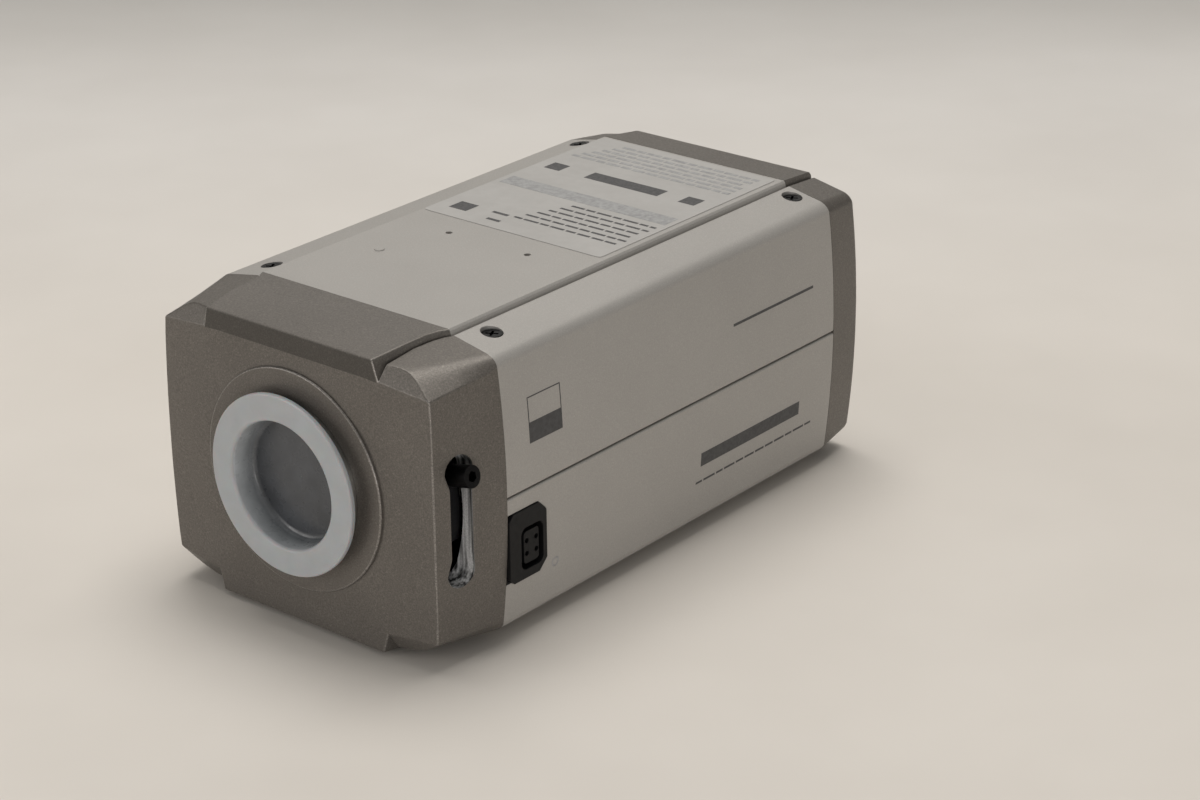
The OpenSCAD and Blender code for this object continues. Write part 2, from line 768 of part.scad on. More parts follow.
// Tact switches behind the buttons, and the body of the lens-type slide switch
module io_switches() {
    placed() color([0.55, 0.55, 0.56]) {
        menu_positions() {
            slab(board_y + board_t, board_y + board_t + 2) square([4.6, 4.6], center = true);
            rod_y(1.2, board_y + board_t, button_back - button_travel - 0.1);
        }
        at_xz(switch_at) difference() {
            slab(board_y + board_t, board_y + board_t + 3) square([9, 4], center = true);
            block([-3.2, board_y + board_t + 1, -1], [3.2, board_y + 20, 1]);
        }
    }
}
module lens_switch_lever() {
    placed() color([0.9, 0.9, 0.88]) at_xz(switch_at)
        block([-2.6, board_y + board_t + 1.2, -0.9], [-0.4, panel_y + 0.4, 0.9]);
}
module level_trimmer() {
    placed() color([0.15, 0.3, 0.6]) at_xz(level_at) difference() {
        slab(board_y + board_t, board_y + board_t + 3.4) square([6.6, 6.6], center = true);
        rod_y(2.3, board_y + board_t + 1, 200);
    }
}
module level_rotor() {
    placed() color([0.9, 0.88, 0.8]) at_xz(level_at) difference() {
        rod_y(2.24, board_y + board_t + 1.1, panel_y - 0.6);
        for (a = [0, 90])
            rotate([0, a, 0]) block([-1.6, panel_y - 1.4, -0.3], [1.6, panel_y + 1, 0.3]);
    }
}

front_bezel();
rear_bezel();
upper_cover();
lower_cover();
upper_cover_screws();
lower_cover_screws();
rating_label();
tripod_insert();
dust_cap();
lens_ring();
lens_block();
lens_block_screws();
friction_washer();
focus_ring();
lock_screw();
filter_frame();
filter_slider();
infrared_filter();
clear_filter();
filter_motor();
filter_arm();
filter_cover();
guide_pins();
sensor_carriage();
sensor_gasket();
image_sensor();
sensor_window();
sensor_board();
sensor_board_screws();
ribbon_cable();
lens_jack();
lens_jack_contacts();
main_board();
main_chips();
board_connectors();
board_studs();
board_screws();
power_board();
power_coils();
power_capacitors();
io_board();
io_switches();
rear_panel();
rear_panel_screws();
bnc_shell();
bnc_insulator();
bnc_contact();
bnc_nut();
power_terminal();
terminal_screw_left();
terminal_screw_right();
power_lamp();
menu_button_centre();
menu_button_up();
menu_button_down();
menu_button_left();
menu_button_right();
lens_switch_lever();
level_trimmer();
level_rotor();
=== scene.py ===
"""Looks of a day/night box camera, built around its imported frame.

The shapes are made in millimetres about the lens axis, as the housing was designed: x to the right,
y from the front seam backwards and z up from the axis. in_row_frame() then puts them in the row frame.
"""

import math

import bmesh
import bpy
from mathutils import Matrix, Vector


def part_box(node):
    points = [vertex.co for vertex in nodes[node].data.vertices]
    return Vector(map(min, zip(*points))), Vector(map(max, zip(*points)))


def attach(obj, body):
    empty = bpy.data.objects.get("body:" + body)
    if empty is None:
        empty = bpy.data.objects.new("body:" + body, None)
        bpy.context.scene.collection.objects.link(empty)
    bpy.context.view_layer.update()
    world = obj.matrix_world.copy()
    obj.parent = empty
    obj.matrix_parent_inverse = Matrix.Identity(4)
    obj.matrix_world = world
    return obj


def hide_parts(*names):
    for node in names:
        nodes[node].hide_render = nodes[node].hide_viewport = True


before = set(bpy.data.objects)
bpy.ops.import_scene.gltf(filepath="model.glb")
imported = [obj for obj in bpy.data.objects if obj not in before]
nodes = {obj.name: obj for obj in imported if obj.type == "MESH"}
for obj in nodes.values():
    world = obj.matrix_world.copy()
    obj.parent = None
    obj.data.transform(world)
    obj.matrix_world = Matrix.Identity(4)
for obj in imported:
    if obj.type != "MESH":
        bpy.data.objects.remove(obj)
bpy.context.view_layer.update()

# ---------------------------------------------------------------- dimensions, in millimetres

MM = 0.001
BEZEL_LOW, BEZEL_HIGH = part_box("rear_bezel")
COVER_LOW, COVER_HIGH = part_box("upper_cover")
RING_LOW, RING_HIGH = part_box("lens_ring")
CAP_LOW, CAP_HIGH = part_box("dust_cap")
SEAM = Vector((0, COVER_LOW.y, (BEZEL_LOW.z + BEZEL_HIGH.z) / 2))
ROW = Matrix.Translation(SEAM) @ Matrix.Scale(MM, 4)
HALF_W = (COVER_HIGH.x - COVER_LOW.x) / 2 / MM
HALF_H = (BEZEL_HIGH.z - BEZEL_LOW.z) / 2 / MM
COVER_L = (COVER_HIGH.y - COVER_LOW.y) / MM
PLATEAU_X = 21.3  # half width of the raised flats at the top and bottom
BOW = 1.45  # how far the sides bow out between their corners
CORNER = (HALF_W - BOW, 22.6)  # x and z where a side ends and its shoulder starts
WALL = 1.6
FAR = 40  # outside the housing, across the lens axis
RING_FACE = (RING_LOW.y - SEAM.y) / MM
RING_R = (RING_HIGH.x - RING_LOW.x) / 2 / MM
BOSS_Y = RING_FACE + 1.84
BOSS_R = 19.7
CAP_FRONT = (CAP_LOW.y - SEAM.y) / MM
CAP_R = (CAP_HIGH.x - CAP_LOW.x) / 2 / MM
CAP_DEPTH = 4.7  # from the flange's front to the floor of the recess


def local(node):
    """Lowest and highest corner of a CAD node, in millimetres about the lens axis."""
    return [(corner - SEAM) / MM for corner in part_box(node)]


# ---------------------------------------------------------------- mesh helpers


def link(name, mesh):
    obj = bpy.data.objects.new(name, mesh)
    bpy.context.scene.collection.objects.link(obj)
    return obj


def solid(name, points, faces):
    """A closed mesh whose faces all look outwards."""
    mesh = bpy.data.meshes.new(name)
    mesh.from_pydata([tuple(p) for p in points], [], faces)
    bm = bmesh.new()
    bm.from_mesh(mesh)
    bmesh.ops.remove_doubles(bm, verts=bm.verts, dist=1e-5)
    bmesh.ops.recalc_face_normals(bm, faces=bm.faces)
    bm.to_mesh(mesh)
    bm.free()
    return link(name, mesh)


# the point at a level along an axis, from its places along the other two
ALONG = {
    "x": lambda a, b, level: (level, a, b),
    "y": lambda a, b, level: (a, level, b),
    "z": lambda a, b, level: (a, b, level),
}


def loft(name, outlines):
    """A closed solid through outlines that have the same number of points."""
    n = len(outlines[0])
    points = [p for outline in outlines for p in outline]
    faces = [list(range(n)), list(range(len(points) - n, len(points)))]
    faces += [[k * n + i, k * n + (i + 1) % n, (k + 1) * n + (i + 1) % n, (k + 1) * n + i]
              for k in range(len(outlines) - 1) for i in range(n)]
    return solid(name, points, faces)


def joined(*parts):
    """Puts separate solids into the first one's mesh."""
    bm = bmesh.new()
    for part in parts:
        bm.from_mesh(part.data)
    bm.to_mesh(parts[0].data)
    bm.free()
    for part in parts[1:]:
        bpy.data.objects.remove(part)
    return parts[0]


def prism(name, outline, low, high, axis="y"):
    """An outline of two coordinates, in the order of the other two axes, swept from low to high."""
    return loft(name, [[ALONG[axis](a, b, level) for a, b in outline] for level in (low, high)])


def lathe(name, profile, steps):
    """A closed outline of (radius, y) pairs turned about the lens axis."""
    points, faces = [], []
    n = len(profile)
    for k in range(steps):
        a = 2 * math.pi * k / steps
        points += [(r * math.cos(a), y, r * math.sin(a)) for r, y in profile]
        for i in range(n):
            j = (i + 1) % n
            m = (k + 1) % steps
            faces.append([k * n + i, k * n + j, m * n + j, m * n + i])
    return solid(name, points, faces)


def rounded(profile, radius, steps=4):
    """The same closed outline with its corners rounded, each by at most a third of its shorter side."""
    out = []
    n = len(profile)
    for i, corner in enumerate(profile):
        p = Vector(corner)
        before = Vector(profile[i - 1]) - p
        after = Vector(profile[(i + 1) % n]) - p
        reach = min(radius, before.length / 3, after.length / 3)
        start = p + before.normalized() * reach
        end = p + after.normalized() * reach
        for k in range(steps + 1):
            t = k / steps
            out.append(tuple(start * (1 - t) ** 2 + p * 2 * t * (1 - t) + end * t ** 2))
    return out


def baked(obj):
    """Applies the object's modifiers."""
    graph = bpy.context.evaluated_depsgraph_get()
    mesh = bpy.data.meshes.new_from_object(obj.evaluated_get(graph))
    obj.modifiers.clear()
    obj.data = mesh
    return obj


def combine(obj, other, operation):
    modifier = obj.modifiers.new("combine", "BOOLEAN")
    modifier.operation = operation
    modifier.solver = "EXACT"
    modifier.object = other
    baked(obj)
    bpy.data.objects.remove(other)
    return obj


def minus(obj, *cutters):
    for cutter in cutters:
        combine(obj, cutter, "DIFFERENCE")
    return obj


def plus(obj, *others):
    for other in others:
        combine(obj, other, "UNION")
    return obj


def trimmed(obj):
    """Takes out the vertices that only divide a straight edge, and edges without length."""
    bm = bmesh.new()
    bm.from_mesh(obj.data)
    spare = [v for v in bm.verts if len(v.link_edges) == 2 and v.calc_edge_angle(1) < 0.001]
    bmesh.ops.dissolve_verts(bm, verts=spare)
    bmesh.ops.dissolve_degenerate(bm, dist=0.002, edges=bm.edges[:])
    bm.to_mesh(obj.data)
    bm.free()
    return obj


def soften(obj, width=0.0, angle=32, segments=2):
    """Bevels the edges that are sharper than the angle, and shades the rest smooth."""
    trimmed(obj)
    if width:
        bevel = obj.modifiers.new("edges", "BEVEL")
        bevel.width = width
        bevel.segments = segments
        bevel.limit_method = "ANGLE"
        bevel.angle_limit = math.radians(angle)
        bevel.use_clamp_overlap = True
        bevel.miter_outer = "MITER_ARC"
        trimmed(baked(obj))
    for polygon in obj.data.polygons:
        polygon.use_smooth = True
    obj.data.set_sharp_from_angle(angle=math.radians(angle))
    weighted = obj.modifiers.new("normals", "WEIGHTED_NORMAL")
    weighted.keep_sharp = True
    return baked(obj)


def in_row_frame(obj):
    obj.data.transform(ROW)
    return obj


def cad_copy(name, source):
    """The shape of a CAD node as a clean mesh of flat and round faces, in millimetres about the axis."""
    bm = bmesh.new()
    bm.from_mesh(nodes[source].data)
    bmesh.ops.transform(bm, matrix=ROW.inverted(), verts=bm.verts)
    bmesh.ops.remove_doubles(bm, verts=bm.verts, dist=0.002)
    bmesh.ops.dissolve_limit(bm, angle_limit=math.radians(0.8), verts=bm.verts, edges=bm.edges)
    points = [tuple(v.co) for v in bm.verts]
    faces = [[v.index for v in f.verts] for f in bm.faces]
    bm.free()
    return solid(name, points, faces)


def finish_piece(obj, material, slot, body, *replaced):
    """Gives a finished piece its material and puts it on its body in the row frame."""
    in_row_frame(obj)
    if material:
        obj.data.materials.clear()
        obj.data.materials.append(material)
    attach(obj, body)
    if replaced:
        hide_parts(*replaced)
    return obj


# ---------------------------------------------------------------- material helpers


class Shader:
    """A material under construction: a principled shader fed by procedural textures."""

    def __init__(self, name, roughness=0.5, metallic=0.0, **inputs):
        self.material = bpy.data.materials.new(name)
        self.material.use_nodes = True
        self.tree = self.material.node_tree
        self.shader = self.tree.nodes["Principled BSDF"]
        self.shader.inputs["Roughness"].default_value = roughness
        self.shader.inputs["Metallic"].default_value = metallic
        for key, value in inputs.items():
            self.shader.inputs[key.replace("_", " ")].default_value = value
        self.place = self.tree.nodes.new("ShaderNodeTexCoord").outputs["Object"]
        self.height = None

    def node(self, kind, **values):
        made = self.tree.nodes.new(kind)
        for key, value in values.items():
            if isinstance(value, bpy.types.NodeSocket):
                self.tree.links.new(value, made.inputs[key])
            elif key in made.inputs.keys():
                made.inputs[key].default_value = value
            else:
                setattr(made, key, value)
        return made

    def noise(self, size_mm, detail, stretch=None):
        place = self.place
        if stretch:
            place = self.node("ShaderNodeMapping", Vector=place, Scale=stretch).outputs["Vector"]
        made = self.node("ShaderNodeTexNoise", Vector=place, Scale=1 / (size_mm * MM), Detail=detail,
                         Roughness=0.55)
        return made.outputs["Fac"]

    def cells(self, size_mm):
        made = self.node("ShaderNodeTexVoronoi", Vector=self.place, Scale=1 / (size_mm * MM))
        return self.node("ShaderNodeSeparateColor", Color=made.outputs["Color"]).outputs["Red"]

    def share(self, low, high):
        """How far back a place lies between two levels along y, from 0 to 1."""
        level = self.node("ShaderNodeSeparateXYZ", Vector=self.place).outputs["Y"]
        made = self.node("ShaderNodeMapRange", Value=level)
        made.inputs["From Min"].default_value = low
        made.inputs["From Max"].default_value = high
        return made.outputs["Result"]

    def ramp(self, value, *stops):
        """Stops are (position, colour) pairs, where a colour may be one grey level."""
        made = self.node("ShaderNodeValToRGB", Fac=value)
        elements = made.color_ramp.elements
        while len(elements) < len(stops):
            elements.new(0.5)
        for element, (position, colour) in zip(elements, stops):
            element.position = position
            element.color = (*colour, 1) if isinstance(colour, tuple) else (colour, colour, colour, 1)
        return made.outputs["Color"]

    def mix(self, kind, factor, a, b):
        made = self.tree.nodes.new("ShaderNodeMix")
        made.data_type = "RGBA"
        made.blend_type = kind
        for socket, value in ((made.inputs[0], factor), (made.inputs[6], a), (made.inputs[7], b)):
            if isinstance(value, bpy.types.NodeSocket):
                self.tree.links.new(value, socket)
            elif isinstance(value, tuple):
                socket.default_value = (*value, 1)
            else:
                socket.default_value = value
        return made.outputs[2]

    def colour(self, socket):
        self.tree.links.new(socket, self.shader.inputs["Base Color"])

    def roughness(self, socket):
        self.tree.links.new(socket, self.shader.inputs["Roughness"])

    def bump(self, value, depth_mm, strength=1.0):
        """Adds a layer of relief; layers stack."""
        made = self.node("ShaderNodeBump", Height=value, Distance=depth_mm * MM, Strength=strength)
        if self.height:
            self.tree.links.new(self.height, made.inputs["Normal"])
        self.height = made.outputs["Normal"]
        self.tree.links.new(self.height, self.shader.inputs["Normal"])


def shades(colour, low, high):
    return tuple(c * low for c in colour), tuple(c * high for c in colour)


def flake_paint(name, colour, flake, grain_mm, rough, relief_mm, metallic, wear=0.06):
    """Satin metallic paint: fine flakes with painted glints, a soft orange peel and slow drifts of tone."""
    s = Shader(name, roughness=rough, metallic=metallic)
    dark, light = shades(colour, 1 - wear, 1 + wear)
    drift = s.ramp(s.noise(22, 2), (0.3, dark), (0.7, light))
    grain = s.ramp(s.noise(grain_mm, 2), (0.35, 1 - flake), (0.65, 1 + flake))
    toned = s.mix("MULTIPLY", 1.0, drift, grain)
    # painted glints: a few flake cells lightened in colour
    glint = s.ramp(s.cells(grain_mm * 0.9), (0.9, 0.0), (0.97, 1.0))
    s.colour(s.mix("ADD", glint, toned, tuple(c * flake * 1.4 for c in colour)))
    s.roughness(s.ramp(s.noise(grain_mm * 1.5, 2), (0.3, rough - 0.06), (0.7, rough + 0.06)))
    s.bump(s.noise(grain_mm, 2), relief_mm)
    s.bump(s.noise(1.6, 2), relief_mm * 1.5, 0.5)
    return s.material


def plastic(name, colour, rough, relief_mm=0.01, grain_mm=0.2, vary=0.08, **inputs):
    """Moulded plastic with a spark-eroded grain and faint handling marks."""
    s = Shader(name, roughness=rough, **inputs)
    dark, light = shades(colour, 1 - vary, 1 + vary)
    s.colour(s.ramp(s.noise(3.5, 4), (0.35, dark), (0.65, light)))
    s.roughness(s.ramp(s.noise(1.1, 4), (0.3, max(0.05, rough - 0.08)), (0.7, rough + 0.08)))
    s.bump(s.noise(grain_mm, 2), relief_mm)
    return s.material


def metal(name, colour, rough, grain=(1, 1, 1), grain_mm=0.3, relief_mm=0.004):
    """Bare or plated metal with tool marks drawn out along one direction."""
    s = Shader(name, roughness=rough, metallic=1.0)
    dark, light = shades(colour, 0.92, 1.08)
    s.colour(s.ramp(s.noise(2.5, 4), (0.3, dark), (0.7, light)))
    marks = s.noise(grain_mm, 3, stretch=grain)
    s.roughness(s.ramp(marks, (0.3, max(0.05, rough - 0.1)), (0.7, rough + 0.1)))
    s.bump(marks, relief_mm)
    return s.material


def drawn_metal_painted_sheen(name, dark, light, width_mm):
    """Bare metal cut in upright strokes, with painted sheen: its colour shines in narrow light and dark
    bands, with a fine grain.
    """
    s = Shader(name, roughness=0.3, metallic=0.2)
    strokes = s.noise(width_mm, 1, stretch=(1, 1, 0.03))
    # painted sheen: the strokes lighten and darken the colour in narrow bands
    painted_sheen_bands = s.ramp(strokes, (0.4, dark), (0.6, light))
    grain = s.ramp(s.noise(0.25, 2), (0.35, 0.8), (0.65, 1.15))
    s.colour(s.mix("MULTIPLY", 1.0, painted_sheen_bands, grain))
    s.bump(strokes, 0.03)
    s.bump(s.noise(0.25, 2), 0.006)
    return s.material


def recess_painted_shading(name):
    """The dust cap's hollow, with painted light and shade: pale where light soaks in at the rim, dark where
    the body lies behind it.
    """
    s = Shader(name, roughness=0.3)
    depth = s.share(SEAM.y + CAP_FRONT * MM, SEAM.y + (CAP_FRONT + CAP_DEPTH) * MM)
    # painted light and shade: pale at the mouth, darker with depth down to the floor
    tone = s.ramp(depth, (0.0, (0.48, 0.5, 0.52)), (0.4, (0.34, 0.36, 0.375)), (0.85, (0.17, 0.18, 0.19)),
                  (1.0, (0.062, 0.066, 0.073)))
    haze = s.ramp(s.noise(5, 3), (0.3, 0.8), (0.7, 1.2))
    s.colour(s.mix("MULTIPLY", 1.0, tone, haze))
    s.roughness(s.ramp(s.noise(2, 3), (0.3, 0.22), (0.7, 0.4)))
    s.bump(s.noise(0.5, 2), 0.005)
    return s.material


def glass(name, colour):
    s = Shader(name, roughness=0.05, Transmission_Weight=0.85, IOR=1.52)
    s.colour(s.ramp(s.noise(4, 2), (0.3, colour), (0.7, tuple(min(1, c * 1.05) for c in colour))))
    s.bump(s.noise(3, 2), 0.002)
    return s.material


def circuit_board(name, mask, copper):
    """Solder mask over copper tracks, with a fine glass weave under it."""
    s = Shader(name, roughness=0.3)
    black, white = (0, 0, 0, 1), (1, 1, 1, 1)
    tracks = s.node("ShaderNodeTexBrick", Vector=s.place, Scale=1 / (6 * MM), Color1=black, Color2=black)
    tracks.inputs["Mortar"].default_value = white
    tracks.inputs["Mortar Size"].default_value = 0.06
    toned = s.ramp(s.noise(5, 3), (0.3, mask), (0.7, tuple(c * 1.25 for c in mask)))
    s.colour(s.mix("MIX", tracks.outputs["Fac"], toned, copper))
    s.bump(tracks.outputs["Fac"], 0.02)
    s.bump(s.noise(0.4, 2), 0.004)
    return s.material


# ---------------------------------------------------------------- materials

frame_paint = flake_paint("frame_paint", (0.132, 0.12, 0.107), 0.18, 0.26, 0.42, 0.02, 0.45)
cover_paint = flake_paint("cover_paint", (0.37, 0.355, 0.335), 0.06, 0.2, 0.45, 0.008, 0.3, 0.03)
# painted shade: a darker copy of the frame paint for the upright band under the top brow
frame_painted_shade = flake_paint("frame_painted_shade", (0.068, 0.062, 0.055), 0.18, 0.26, 0.42, 0.02, 0.45)
# thin paint on the frame's sharp edges, lightened further as a painted highlight along them
frame_edge_paint_and_highlight = flake_paint("frame_edge_paint_and_highlight", (0.21, 0.195, 0.18), 0.3, 0.25, 0.34, 0.02, 0.5)
# bare slot metal whose colour carries painted sheen in narrow light and dark bands
slot_metal_painted_sheen = drawn_metal_painted_sheen("slot_metal_painted_sheen", 0.05, 0.7, 0.9)
cap_plastic = plastic("cap_plastic", (0.38, 0.4, 0.415), 0.38, 0.006, 0.5, 0.03,
                      Subsurface_Weight=0.35, Subsurface_Scale=0.002)
# the dust cap's hollow, coloured with painted light at its rim and painted shade towards its floor
cap_recess = recess_painted_shading("cap_recess")
black_plastic = plastic("black_plastic", (0.006, 0.006, 0.0065), 0.42, 0.008, Specular_IOR_Level=0.18)
black_screw = metal("black_screw", (0.014, 0.014, 0.015), 0.42, (1, 1, 1), 0.2, 0.006)
zinc = metal("zinc_screw", (0.6, 0.6, 0.6), 0.28)
steel = metal("steel", (0.58, 0.58, 0.57), 0.3, (1, 0.1, 1))
ring_metal = metal("ring_metal", (0.42, 0.42, 0.41), 0.36, (1, 0.05, 1), 0.6, 0.002)
nickel = metal("nickel", (0.68, 0.67, 0.64), 0.16, (1, 0.05, 1), 0.25)
brass = metal("brass", (0.62, 0.45, 0.2), 0.28, (1, 0.1, 1))
gold = metal("gold_contact", (0.85, 0.6, 0.25), 0.2)
black_anodised = metal("black_anodised", (0.02, 0.02, 0.022), 0.42, (1, 0.1, 1), 0.3, 0.01)
copper = metal("copper_coil", (0.5, 0.22, 0.09), 0.35, (1, 1, 0.1), 0.15, 0.03)
gasket = plastic("gasket_rubber", (0.02, 0.02, 0.02), 0.7, 0.02)
ceramic = plastic("ceramic_package", (0.55, 0.5, 0.42), 0.6, 0.01)
panel_plastic = plastic("panel_plastic", (0.022, 0.022, 0.024), 0.5, 0.02, 0.25)
button_plastic = plastic("button_plastic", (0.06, 0.06, 0.064), 0.42, 0.008)
white_plastic = plastic("white_plastic", (0.75, 0.73, 0.66), 0.4)
terminal_plastic = plastic("terminal_plastic", (0.015, 0.16, 0.07), 0.35)
trimmer_plastic = plastic("trimmer_plastic", (0.02, 0.08, 0.33), 0.35)
insulator = plastic("socket_insulator", (0.8, 0.8, 0.78), 0.35, 0.004,
                    Subsurface_Weight=0.2, Subsurface_Scale=0.001)
sleeve = plastic("capacitor_sleeve", (0.02, 0.03, 0.09), 0.22)
flat_cable = plastic("flat_cable", (0.6, 0.5, 0.3), 0.25)
lamp_lens = plastic("lamp_lens", (0.08, 0.5, 0.12), 0.15, 0.003,
                    Transmission_Weight=0.4, Subsurface_Weight=0.3, Subsurface_Scale=0.001)
clear_glass = glass("clear_glass", (0.9, 0.95, 0.95))
infrared_glass = glass("infrared_glass", (0.4, 0.75, 0.75))
green_board = circuit_board("green_board", (0.012, 0.12, 0.045), (0.05, 0.22, 0.09))
blue_board = circuit_board("blue_board", (0.012, 0.06, 0.16), (0.04, 0.12, 0.26))

# ---------------------------------------------------------------- outlines of the housing


def side_x(z):
    """The bowed side's place at a height."""
    return HALF_W - BOW * (z / CORNER[1]) ** 2


def side_arc(middle, end, high, steps):
    """The upper half of a bowed side, from beside the axis up to (end, high)."""
    return [(middle - (middle - end) * (i / steps) ** 2, high * i / steps) for i in range(1, steps + 1)]


def corner_arc(end, high, across, up, steps, sweep=90):
    """An elliptical arc that starts upright at (end, high) and turns inwards."""
    turn = [math.radians(sweep) * i / steps for i in range(1, steps + 1)]
    return [(end - across + across * math.cos(a), high + up * math.sin(a)) for a in turn]


def shoulder_arc(steps):
    return corner_arc(*CORNER, 3.18, 2.29, steps, 74)


def all_round(quadrant):
    """A quadrant that runs from the right side up to the top, repeated round the outline."""
    back = quadrant[::-1]
    left = [(-x, z) for x, z in back]
    return quadrant + left + [(-x, -z) for x, z in quadrant] + [(x, -z) for x, z in back]


def cover_quadrant():
    """The covers' outline: bowed side, shoulder, groove and raised flat."""
    shoulder = side_arc(HALF_W, *CORNER, 8) + shoulder_arc(6)
    groove = [(22.25, HALF_H - 0.86), (21.95, HALF_H - 1.0), (21.75, HALF_H - 1.45), (21.6, HALF_H - 1.5)]
    return shoulder + groove + [(PLATEAU_X + 0.08, HALF_H - 0.35), (PLATEAU_X - 0.25, HALF_H)]


def cavity_quadrant():
    end, high = CORNER[0] - WALL, CORNER[1] - 1.3
    arc = corner_arc(end, high, 1.4, 1.8, 3)
    return side_arc(HALF_W - WALL, end, high, 8) + arc + [(PLATEAU_X, HALF_H - WALL - 1)]


# ---------------------------------------------------------------- front frame

STATIONS = (0, 0.1, 0.27, 0.55, 1)  # shares of the way from the seam to the face
FACE_SIDE = (30.42, -15)  # x and y where a side meets the face, beside the axis
FACE_CORNER = Vector((29.95, -14.7, 21.4))  # where side, corner facet and face meet
NOTCH = Vector((19.65, -15.4, 22.45))  # the foot of the notch beside the brow
BROW = Vector((18.6, -15.6, 26.1))  # the brow's front corner
CROWN_Y = -15.75  # where the crowned face would cross the axis
CORNER_TRACK, NOTCH_TRACK, BROW_TRACK = 7, 15, 17  # the tracks that end at those three points
SIDE_SLOPE = (HALF_W - 30.35) / 15  # how much a side leans in towards the face
SLOT_Y, SLOT_Z, SLOT_HALF = -9.2, -0.8, 11.75  # the slot's middle and half length
SLOT_W, POCKET_R = 2.25, 2.8  # half width of its waist, radius of its pockets
BORE_R, BORE_Y, BORE_TOP = 29.3, -13.2, 23.6  # the space inside: radius, front and half height


def bent_track(front_y, *places):
    """A line along the frame through one (x, z) place at each station."""
    return [Vector((x, front_y * t, z)) for t, (x, z) in zip(STATIONS, places)]


def straight_track(seam, front):
    """A straight line from (x, z) at the seam to a point of the face's outline."""
    start = Vector((seam[0], 0, seam[1]))
    return [start.lerp(Vector(front), t) for t in STATIONS]


def front_tracks():
    """The lines that carry the frame's surface from the seam to the face, for the upper right quadrant."""
    side = side_arc(HALF_W, *CORNER, 8)
    inwards, backwards = 0.42, 0.3
    front_side = []
    for _, z in side:
        t = z / CORNER[1]
        x, y = FACE_SIDE[0] - inwards * t ** 2, FACE_SIDE[1] + backwards * t ** 2
        front_side.append((x, y, FACE_CORNER.z * t))
    tracks = [straight_track(a, b) for a, b in zip(side[:-1], front_side[:-1])]
    tracks.append(straight_track(CORNER, FACE_CORNER))
    scoop = [(28.6, -14.32, 22.3), (27.2, -13.9, 23.3), (26.0, -13.6, 24.05), (24.9, -13.38, 24.6),
             (23.9, -13.3, 24.9), (22.8, -13.3, 25.05)]
    tracks += [straight_track(a, b) for a, b in zip(shoulder_arc(6), scoop)]
    lip = [(22.1, 26.15), (21.35, 26.12), (20.8, 26.1), (20.35, 25.95), (20.15, 25.15)]
    groove = [(21.7, 25.5), (21.0, 25.35), (20.4, 25.2), (20.0, 24.6), NOTCH.xz]
    step = [(21.35, 26.7), (20.75, 26.45), (20.3, 26.3), (19.95, 26.1), (18.75, 25.75)]
    edge = [(21.15, 27), (20.3, 27), (19.8, 27), (19.6, 26.85), BROW.xz]
    tracks += [bent_track(-13.85, *lip), bent_track(NOTCH.y, *groove)]
    return tracks + [bent_track(BROW.y, *step), bent_track(BROW.y, *edge)]


def flipped(track, x, z):
    """A track in the quarter with these signs of x and z."""
    return [Vector((p.x * x, p.y, p.z * z)) for p in track]


def front_loop(quadrant):
    """The quadrant's tracks in all four quarters, in order round the frame."""
    back = quadrant[::-1]
    return ([flipped(t, 1, 1) for t in quadrant] + [flipped(t, -1, 1) for t in back]
            + [flipped(t, -1, -1) for t in quadrant] + [flipped(t, 1, -1) for t in back])


def front_end(size, quarter, track):
    """The number of the point at the front end of a track, in one of the four quarters."""
    place = (track, 2 * size - 1 - track, 2 * size + track, 4 * size - 1 - track)[quarter]
    return place * len(STATIONS) + len(STATIONS) - 1


def corner_facet(points, faces, size, quarter):
    """Adds a corner facet, and gives the line along which it and the side meet the face."""
    x, z = ((1, 1), (-1, 1), (-1, -1), (1, -1))[quarter]
    side = [front_end(size, quarter, t) for t in range(CORNER_TRACK + 1)]
    scoop = [front_end(size, quarter, t) for t in range(NOTCH_TRACK - 1, CORNER_TRACK, -1)]
    notch = front_end(size, quarter, NOTCH_TRACK)
    start = len(points)
    points += flipped([FACE_CORNER.lerp(NOTCH, k / 4) for k in range(1, 4)], x, z)
    ledge = [start, start + 1, start + 2]
    faces.append([notch, *scoop, side[-1], *ledge])
    line = side + ledge + [notch]
    return line[::-1] if quarter in (1, 3) else line


def brow_band(points, faces, size, quarters, right, left):
    """Adds the upright band of a brow, and gives the points along its edge on the face."""
    a, b = quarters
    start = len(points)
    points += [points[right].lerp(points[left], k / 12) for k in range(1, 12)]
    row = list(range(start, start + 11))
    ends = ((a, BROW_TRACK - 1), (a, BROW_TRACK), (b, BROW_TRACK), (b, BROW_TRACK - 1))
    faces.append([*[front_end(size, q, t) for q, t in ends], left, *row[::-1], right])
    return row


def crowned_face(points, faces, ring):
    """Adds the face, which rises a little from its outline to the boss."""
    outline = [points[i] for i in ring]
    count = len(ring)
    under_boss = BOSS_R - 1
    for share in (0.5, 1):
        start = len(points)
        for p in outline:
            direction = Vector((p.x, 0, p.z)).normalized()
            reach = p.xz.length
            r = reach + (under_boss - reach) * share
            points.append(direction * r + Vector((0, CROWN_Y + (p.y - CROWN_Y) * (r / reach) ** 2, 0)))
        inner = list(range(start, start + count))
        faces += [[ring[i], ring[(i + 1) % count], inner[(i + 1) % count], inner[i]] for i in range(count)]
        ring = inner
    faces.append(ring)


